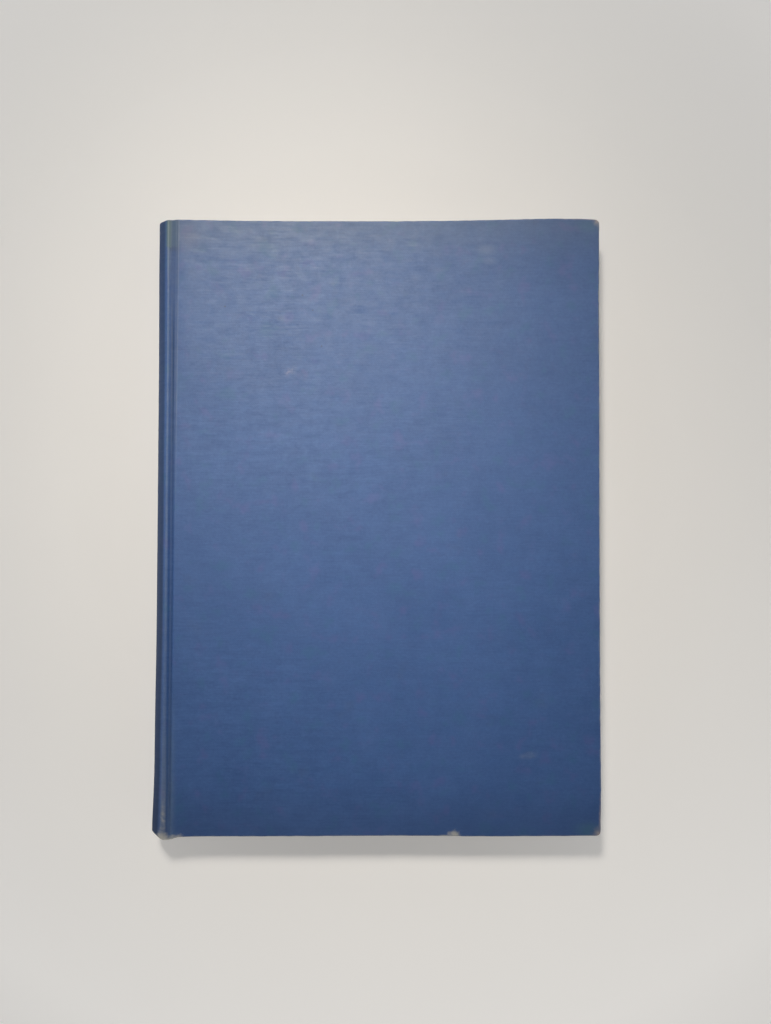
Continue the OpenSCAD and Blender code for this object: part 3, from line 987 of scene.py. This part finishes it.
    base = m.mix(m.math("MINIMUM", m.add(ridge, m.mul(edges, 0.7)), 1.0), base, rubbed)
    bare = corner
    rough = m.add(0.52, m.add(m.mul(m.sub(fine2, 0.5), 0.10), m.mul(m.add(m.sub(weft, 0.5), m.sub(blot, 0.5)), -0.16)))
    # the handled cloth of the spine has lost its gloss
    rough = m.add(rough, m.ramp(u, crest_u - 0.4, crest_u - 2.0, 0.0, 0.38))
    if front:
        # tail of the spine: the cloth is worn through to its pale ground
        tail = m.spot(uv, crest_u + 0.5, -129.0, 2.4, 3.8, 0.9)
        strip = m.mul(m.spot(uv, crest_u + 4.4, -129.4, 6.6, 2.6, 0.95), 0.92)
        climb = m.mul(m.spot(uv, crest_u + 0.40, -121.0, 1.05, 9.5, 0.95), 0.50)
        shelf = m.mul(m.spot(uv, crest_u + 3.8, -118.0, 1.7, 34.0, 0.95), 0.34)
        # frayed place on the tail edge
        fray = m.mul(m.spot(uv, 32.3, -128.0, 2.6, 2.9, 0.95), m.ramp(v, -124.8, -128.3, 0.50, 0.95))
        fray2 = m.mul(m.spot(uv, 28.6, -128.6, 4.2, 0.9, 0.9), 0.75)
        dots = m.mul(m.spot(uv, -32.0, -128.7, 4.8, 0.9, 0.9), 0.60)
        # corners of the fore-edge
        br = m.mul(m.spot(uv, 92.9, -128.2, 2.8, 3.2, 0.95), 0.95)
        br2 = m.mul(m.spot(uv, 93.3, -121.0, 1.2, 9.5, 0.95), 0.72)
        br3 = m.mul(m.spot(uv, 90.4, -127.2, 3.4, 1.6, 0.95, rad(30)), 0.30)
        tr = m.mul(m.spot(uv, 92.9, 128.0, 2.4, 2.8, 0.95), 0.90)
        tr2 = m.mul(m.spot(uv, 84.0, 128.8, 10.0, 0.9, 0.95), 0.70)
        torn = m.mul(m.sub(m.noise(at, 1.9, 5.0, 0.7), 0.5), 0.9)
        worn = m.ramp(m.add(m.most(tail, strip, climb, fray, fray2, dots), torn), 0.22, 1.02)
        hit = m.ramp(m.add(m.most(br, br2, br3, tr, tr2), m.mul(torn, 0.7)), 0.10, 1.15)
        bare = m.most(m.mul(worn, 0.95), m.mul(hit, 0.8), m.mul(corner, 0.5))
        base = m.mix(m.mul(shelf, m.ramp(fine2, 0.25, 0.7, 0.5, 1.0)), base, (0.17, 0.25, 0.33))
        base = m.mix(m.mul(corner, 0.5), base, ground)
        base = m.mix(m.mul(hit, 0.85), base, m.mix(fine2, (0.36, 0.29, 0.29), (0.50, 0.42, 0.42)))
        base = m.mix(m.mul(worn, 0.95), base, ground)
        # scuff, smears and specks on the face
        scuff = m.spot(uv, -36.2, 64.3, 2.3, 1.3, 0.9, rad(30))
        scuff2 = m.mul(m.spot(uv, -37.0, 63.8, 1.1, 0.6, 0.9, rad(30)), 0.8)
        scuffs = m.mul(m.most(m.mul(scuff, 0.45), scuff2), m.ramp(fine, 0.3, 0.65, 0.15, 1.0))
        base = m.mix(m.mul(scuffs, 0.44), base, (0.43, 0.42, 0.50))
        smear = m.mul(m.mul(m.spot(uv, 63.3, -95.4, 2.8, 1.1, 0.9, rad(8)), m.ramp(fine2, 0.3, 0.6, 0.4, 1.0)), 0.26)
        pale = m.most(smear, m.mul(m.spot(uv, 46.0, 115.5, 3.8, 1.8, 0.9), 0.13),
                      m.mul(m.spot(uv, 47.5, 110.8, 2.4, 1.4, 0.9), 0.10),
                      m.mul(m.spot(uv, -40.2, 86.6, 1.7, 1.0, 0.9, rad(-10)), 0.14))
        base = m.mix(pale, base, (0.34, 0.38, 0.44))
        spots = m.most(m.spot(uv, -64.0, 91.6, 0.42, 0.36, 0.5), m.spot(uv, -31.2, 96.4, 0.36, 0.36, 0.5),
                       m.spot(uv, -23.1, 74.8, 0.34, 0.38, 0.5), m.spot(uv, -26.9, 90.0, 0.36, 0.3, 0.5))
        base = m.mix(m.mul(spots, 0.55), base, (0.03, 0.05, 0.11))
        # over the folded-in cloth at the head of the joint the colour has turned greenish
        ragged = m.mul(m.sub(m.noise(m.scale(uv, 1.0, 0.2), 1.6, 2.0), 0.5), 1.4)
        above = m.ramp(m.add(v, ragged), 116.2, 117.0)
        across = m.mul(m.ramp(u, crest_u - 1.6, crest_u - 0.4), m.ramp(u, crest_u + 6.2, crest_u + 3.6))
        base = m.mix(m.mul(m.mul(above, across), 0.70), base, (0.060, 0.135, 0.205))
        on_crest = m.ramp(m.math("ABSOLUTE", m.sub(u, crest_u + 0.6)), 1.5, 0.5)
        base = m.mix(m.mul(m.mul(above, on_crest), 0.55), base, (0.15, 0.215, 0.240))
        # painted shadow in a band just below the step where the folded-in cloth ends, from the crest across the groove
        under = m.mul(m.ramp(m.add(v, ragged), 114.4, 116.4), m.ramp(m.add(v, ragged), 117.0, 116.5))
        base = m.mix(m.mul(m.mul(under, m.mul(m.ramp(u, crest_u, crest_u + 1.4), m.ramp(u, crest_u + 6.0, crest_u + 3.4))), 0.45),
                     base, (0.018, 0.045, 0.110))
        teal = m.mul(m.spot(uv, 88.6, 125.4, 4.4, 2.4, 0.7), 0.30)
        base = m.mix(teal, base, (0.07, 0.19, 0.28))
        green = m.mul(m.spot(uv, 87.6, -125.6, 4.6, 2.6, 0.8), 0.26)
        base = m.mix(green, base, (0.07, 0.19, 0.22))
        grey = m.mul(m.spot(uv, -80.0, 121.0, 4.5, 5.5, 0.8), 0.28)
        base = m.mix(grey, base, (0.14, 0.15, 0.26))
    else:
        base = m.mix(m.mul(bare, 0.5), base, ground)
        scrape = m.mul(m.spot(uv, 20.0, -30.0, 26.0, 0.7, 0.9, rad(24)), 0.16)
        base = m.mix(scrape, base, (0.34, 0.38, 0.44))

    dirt = m.ramp(m.noise(m.shift(at, 40.0, 340.0), 16.0, 4.0, 0.65), 0.60, 0.85)
    base = m.mix(m.mul(dirt, 0.14), base, (0.06, 0.08, 0.13))
    # painted shade along the bottom of the groove, stronger towards the tail, weaker towards the head; the groove is
    # also rougher
    groove = m.mul(m.ramp(m.math("ABSOLUTE", m.sub(u, crest_u + 2.72)), 1.1, 0.3),
                   m.mul(m.ramp(v, 60.0, -20.0, 1.75, 1.0), m.ramp(v, -125.0, -112.0)))
    base = m.mix(m.mul(groove, m.ramp(v, 76.0, 104.0, 0.32, 0.05)), base, (0.016, 0.040, 0.105))
    rough = m.add(rough, m.mul(groove, 0.22))
    if front:
        # both slopes of the groove are painted paler towards the head, where the groove is shallow: painted light
        slopes = m.most(m.mul(m.ramp(m.math("ABSOLUTE", m.sub(u, crest_u + 1.9)), 0.95, 0.3), 0.8),
                        m.ramp(m.math("ABSOLUTE", m.sub(u, crest_u + 4.2)), 1.3, 0.6),
                        m.mul(m.ramp(m.math("ABSOLUTE", m.sub(u, crest_u + 2.8)), 1.0, 0.4), m.ramp(v, 76.0, 104.0, 0.0, 0.85)))
        slope_painted_light = m.mul(m.mul(slopes, m.ramp(v, -25.0, 70.0)), m.ramp(fine2, 0.25, 0.7, 0.30, 0.46))
        base = m.mix(slope_painted_light, base, (0.17, 0.205, 0.30))

    height = m.add(m.mul(weave, 0.6), m.add(m.mul(m.sub(weft, 0.5), 0.9), m.mul(grain, 0.25)))
    normal = m.bump(height, 0.05, 0.55)
    normal = m.bump(m.add(m.mul(bare, -1.0), m.mul(fine, 0.5)), 0.07, 0.6, normal)
    return m.set(color=base, rough=rough, normal=normal, spec=0.76, tint=(1.0, 1.0, 0.84),
                 sheen=0.02, sheen_rough=0.45, sheen_tint=(0.75, 0.85, 1.0))


def paper_material(name, kind):
    m = Nodes(name)
    at = m.uv() if kind == "leaf" else m.object_mm()
    dims = "2D" if kind == "leaf" else "3D"
    cloud = m.noise(at, 45.0, 3.0, 0.55, dims)
    fibre = m.noise(m.scale(at, 1.0, 0.45), 0.7, 3.0, 0.7, dims)
    base = m.mix(cloud, (0.66, 0.58, 0.42), (0.75, 0.68, 0.53))
    base = m.mix(m.ramp(fibre, 0.35, 0.75, 0.0, 0.20), base, (0.58, 0.49, 0.34))
    far, pick = m.voronoi(at, 34.0, dims=dims)
    size = m.ramp(m.split(pick)[0], 0.45, 1.0, -0.02, 0.050)
    ragged = m.mul(m.sub(m.noise(at, 2.2, 3.0, 0.65, dims), 0.5), 0.05)
    fox = m.math("MULTIPLY", m.sub(m.add(size, ragged), far), 28.0, clamp=True)
    base = m.mix(m.mul(fox, 0.34), base, (0.44, 0.29, 0.14))
    if kind == "leaf":
        u, v, _ = m.split(at)
        edge = m.most(m.ramp(u, 76.0, 90.0), m.ramp(m.math("ABSOLUTE", v), 112.0, 126.0), m.ramp(u, KX + 9.0, KX + 1.0))
        edge = m.mul(edge, m.ramp(cloud, 0.3, 0.7, 0.4, 1.0))
        base = m.mix(m.mul(edge, 0.42), base, (0.50, 0.37, 0.20))
    normal = m.bump(fibre, 0.02, 0.35)
    return m.set(color=base, rough=0.78, normal=normal, spec=0.22)


def page_material(name):
    m = Nodes(name)
    at = m.object_mm()
    leaf = m.attribute("leaf")
    x, y, z = m.split(at)
    cloud = m.noise(at, 30.0, 3.0, 0.6, "3D")
    base = m.mix(leaf, (0.50, 0.41, 0.26), (0.76, 0.68, 0.51))
    base = m.mix(m.ramp(cloud, 0.3, 0.75, 0.0, 0.35), base, (0.50, 0.39, 0.24))
    dust = m.noise(m.scale(at, 0.25, 0.25, 2.5), 1.6, 4.0, 0.65, "3D")
    base = m.mix(m.ramp(dust, 0.5, 0.8, 0.0, 0.30), base, (0.36, 0.29, 0.19))
    head = m.mul(m.ramp(y, 124.0, 125.0), m.ramp(m.noise(at, 9.0, 4.0, 0.65, "3D"), 0.3, 0.7, 0.25, 0.6))
    base = m.mix(head, base, (0.33, 0.28, 0.21))
    far, pick = m.voronoi(at, 19.0, dims="3D")
    size = m.ramp(m.split(pick)[0], 0.5, 1.0, 0.0, 0.12)
    fox = m.math("MULTIPLY", m.sub(size, far), 14.0, clamp=True)
    base = m.mix(m.mul(fox, 0.32), base, (0.38, 0.25, 0.13))
    normal = m.bump(m.noise(m.scale(at, 0.5, 0.5, 6.0), 0.6, 3.0, 0.7, "3D"), 0.03, 0.4)
    return m.set(color=base, rough=0.85, normal=normal, spec=0.18)


def band_material(name):
    m = Nodes(name)
    uv = m.uv()
    u, v, _ = m.split(uv)
    turn = m.add(u, m.mul(m.math("SINE", m.mul(v, 2 * math.pi)), 0.10))
    block = m.math("FLOORED_MODULO", turn, 4.0)
    blue = m.math("GREATER_THAN", block, 2.0)
    fibre = m.noise(m.scale(uv, 14.0, 3.0), 1.0, 3.0, 0.6)
    pale = m.mix(fibre, (0.55, 0.50, 0.38), (0.72, 0.67, 0.54))
    dark = m.mix(fibre, (0.05, 0.10, 0.25), (0.12, 0.19, 0.38))
    base = m.mix(blue, pale, dark)
    tape = m.math("LESS_THAN", u, -50.0)
    base = m.mix(tape, base, (0.60, 0.55, 0.43))
    normal = m.bump(m.add(fibre, m.math("ABSOLUTE", m.math("SINE", m.mul(turn, math.pi)))), 0.05, 0.5)
    return m.set(color=base, rough=0.55, normal=normal, spec=0.3, sheen=0.2, sheen_rough=0.4)


def board_material(name, light, dark, size):
    m = Nodes(name)
    at = m.object_mm()
    a = m.noise(at, size, 4.0, 0.65, "3D")
    b = m.noise(m.scale(at, 1.0, 1.0, 4.0), size * 0.25, 3.0, 0.7, "3D")
    base = m.mix(a, dark, light)
    base = m.mix(m.ramp(b, 0.6, 0.8, 0.0, 0.5), base, tuple(0.55 * c for c in dark))
    return m.set(color=base, rough=0.9, normal=m.bump(b, 0.06, 0.5), spec=0.15)


def mull_material(name):
    m = Nodes(name)
    at = m.object_mm()
    x, y, z = m.split(at)
    a = m.math("ABSOLUTE", m.math("SINE", m.mul(y, math.pi / 0.9)))
    b = m.math("ABSOLUTE", m.math("SINE", m.mul(m.add(z, m.mul(x, 0.6)), math.pi / 0.9)))
    thread = m.most(a, b)
    open_ = m.ramp(thread, 0.72, 0.86)
    fibre = m.noise(at, 0.4, 3.0, 0.7, "3D")
    cloth = m.mix(fibre, (0.55, 0.50, 0.38), (0.74, 0.69, 0.56))
    base = m.mix(open_, (0.38, 0.27, 0.14), cloth)
    return m.set(color=base, rough=0.9, normal=m.bump(thread, 0.12, 0.8), spec=0.15)


# ---------------------------------------------------------------- build
front_cloth = build_cloth("front_cover_cloth", 1, 3)
back_cloth = build_cloth("back_cover_cloth", -1, 23)
front_board = build_board("front_grey_board", 1, 61)
back_board = build_board("back_grey_board", -1, 67)
front_paste = build_pastedown("front_endpaper_pasted", 1, 41)
back_paste = build_pastedown("back_endpaper_pasted", -1, 47)
front_leaf = build_flyleaf("front_endpaper_leaf", 1, 53)
back_leaf = build_flyleaf("back_endpaper_leaf", -1, 59)
pages = build_pages("pages")
card_piece = build_spine_card("spine_stiffener")
head_band = build_band("head_band_thread", 1)
tail_band = build_band("tail_band_thread", -1)

cloth_front_mat = cloth_material("book_cloth_front", True)
cloth_back_mat = cloth_material("book_cloth_back", False)
leaf_mat = paper_material("endpaper", "leaf")
page_mat = page_material("page_edges")
band_mat = band_material("band_thread")
for ob, mat in ((front_cloth, cloth_front_mat), (back_cloth, cloth_back_mat), (front_paste, leaf_mat),
                (back_paste, leaf_mat), (front_leaf, leaf_mat), (back_leaf, leaf_mat), (pages, page_mat),
                (head_band, band_mat), (tail_band, band_mat)):
    ob.data.materials.append(mat)

grey = board_material("grey_board", (0.42, 0.38, 0.32), (0.30, 0.27, 0.22), 3.0)
card = board_material("spine_card", (0.52, 0.42, 0.28), (0.40, 0.31, 0.19), 2.0)
kraft = board_material("lining_paper", (0.44, 0.31, 0.18), (0.33, 0.22, 0.12), 2.5)
mull = mull_material("mull")
front_board.data.materials.append(grey)
back_board.data.materials.append(grey)
card_piece.data.materials.append(card)
for node, mat in (("spine_card", card), ("spine_lining", kraft), ("spine_mull", mull)):
    me = nodes[node].data
    me.materials.clear()
    me.materials.append(mat)

for ob, body, side in ((front_cloth, "front_cover", 1), (back_cloth, "back_cover", -1)):
    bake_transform(ob)
for ob, body, side in ((front_paste, "front_cover", 1), (back_paste, "back_cover", -1)):
    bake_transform(ob)
for ob in (front_leaf, back_leaf, pages, head_band, tail_band, card_piece):
    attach(ob, "text_block")
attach(front_board, "front_cover")
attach(back_board, "back_cover")

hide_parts("front_cloth", "spine_cloth")
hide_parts("back_cloth", "spine_cloth")
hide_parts("front_pastedown")
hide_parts("back_pastedown")
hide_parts("front_flyleaf")
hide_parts("back_flyleaf")
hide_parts("page_block")
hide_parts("front_board")
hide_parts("back_board")
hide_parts("head_band")
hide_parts("spine_card")
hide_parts("tail_band")

# ---------------------------------------------------------------- floor, light, camera
def build_floor():
    """A flat pale floor that reaches so far that its edge is the horizon."""
    profile = [(r, 0.0) for r in (0.02, 0.1, 0.3, 0.8, 1.6, 3.2, 6.4, 12.0)]
    n = 64
    v, f = [], []
    for r, z in profile:
        for k in range(n):
            a = 2 * math.pi * k / n
            v.append((r * math.cos(a) * 1000, r * math.sin(a) * 1000, z * 1000 - 0.02))
    for i in range(len(profile) - 1):
        for k in range(n):
            k2 = (k + 1) % n
            f.append((i * n + k, i * n + k2, (i + 1) * n + k2, (i + 1) * n + k)[::-1])
    f.append(tuple(range(n)))
    ob = mesh_object("floor", np.array(v), f)
    m = Nodes("floor")
    at = m.object_mm()
    base = m.mix(m.noise(at, 60.0, 3.0, 0.5, "3D"), (0.735, 0.720, 0.695), (0.765, 0.750, 0.725))
    # the light falls off across the book; the floor makes up for it, so that it is evenly pale
    away = m.node("ShaderNodeVectorMath", operation="LENGTH")
    m.put(away.inputs[0], m.shift(at, 6.0, -30.0))
    m.put(m.bsdf.inputs["Emission Color"], (1.0, 0.975, 0.94))
    glow = m.node("ShaderNodeMapRange")
    m.put(glow.inputs["Value"], away.outputs["Value"])
    for name, value in (("From Min", 20.0), ("From Max", 262.0), ("To Min", 0.0), ("To Max", 0.46)):
        glow.inputs[name].default_value = value
    m.put(m.bsdf.inputs["Emission Strength"], glow.outputs[0])
    ob.data.materials.append(m.set(color=base, rough=0.75, spec=0.25,
                                   normal=m.bump(m.noise(at, 1.2, 3.0, 0.6, "3D"), 0.03, 0.3)))


def area_light(name, place, aim, size, power, color, spread_deg=None):
    data = bpy.data.lights.new(name, "AREA")
    data.shape = "DISK"
    data.size = size * MM
    data.energy = power
    data.color = color
    if spread_deg is not None:
        data.spread = rad(spread_deg)
    ob = bpy.data.objects.new(name, data)
    scene.collection.objects.link(ob)
    ob.location = Vector(place) * MM
    ob.rotation_mode = "QUATERNION"
    ob.rotation_quaternion = (Vector(aim) - Vector(place)).to_track_quat("-Z", "Y")


build_floor()
area_light("key", (-125, 510, 800), (-12, 27, 18), 190, 0.256, (1.0, 0.95, 0.88), 29.2)
world = bpy.data.worlds.new("studio")
scene.world = world
world.use_nodes = True


def build_world(nt):
    """Soft light from all round, stronger from the sides than from above, so that upright faces are
    lit too. The camera sees an even pale grey."""
    nt.nodes.clear()
    out = nt.nodes.new("ShaderNodeOutputWorld")
    soft, seen = nt.nodes.new("ShaderNodeBackground"), nt.nodes.new("ShaderNodeBackground")
    mix = nt.nodes.new("ShaderNodeMixShader")
    path = nt.nodes.new("ShaderNodeLightPath")
    coord, parts = nt.nodes.new("ShaderNodeTexCoord"), nt.nodes.new("ShaderNodeSeparateXYZ")
    band = nt.nodes.new("ShaderNodeMapRange")
    band.interpolation_type = "SMOOTHERSTEP"
    for name, value in (("From Min", 0.75), ("From Max", 0.0), ("To Min", 0.045), ("To Max", 0.82)):
        band.inputs[name].default_value = value
    nt.links.new(coord.outputs["Generated"], parts.inputs[0])
    nt.links.new(parts.outputs["Z"], band.inputs["Value"])
    soft.inputs["Color"].default_value = (0.95, 0.97, 1.0, 1.0)
    nt.links.new(band.outputs[0], soft.inputs["Strength"])
    seen.inputs["Color"].default_value = (0.606, 0.597, 0.580, 1.0)
    seen.inputs["Strength"].default_value = 1.0
    nt.links.new(path.outputs["Is Camera Ray"], mix.inputs[0])
    nt.links.new(soft.outputs[0], mix.inputs[1])
    nt.links.new(seen.outputs[0], mix.inputs[2])
    nt.links.new(mix.outputs[0], out.inputs[0])


build_world(world.node_tree)

camera = bpy.data.cameras.new("camera")
camera.sensor_fit = "AUTO"
camera.sensor_width = 36.0
camera.lens = 1100 / 1024 * 36.0
camera.clip_start, camera.clip_end = 0.01, 20.0
cam = bpy.data.objects.new("camera", camera)
scene.collection.objects.link(cam)
cam.location = (5.98 * MM, -10.61 * MM, 476.79 * MM)
cam.rotation_euler = (rad(1.976), rad(0.262), rad(0.109))
scene.camera = cam
scene.view_settings.view_transform = "Standard"
scene.view_settings.look = "None"
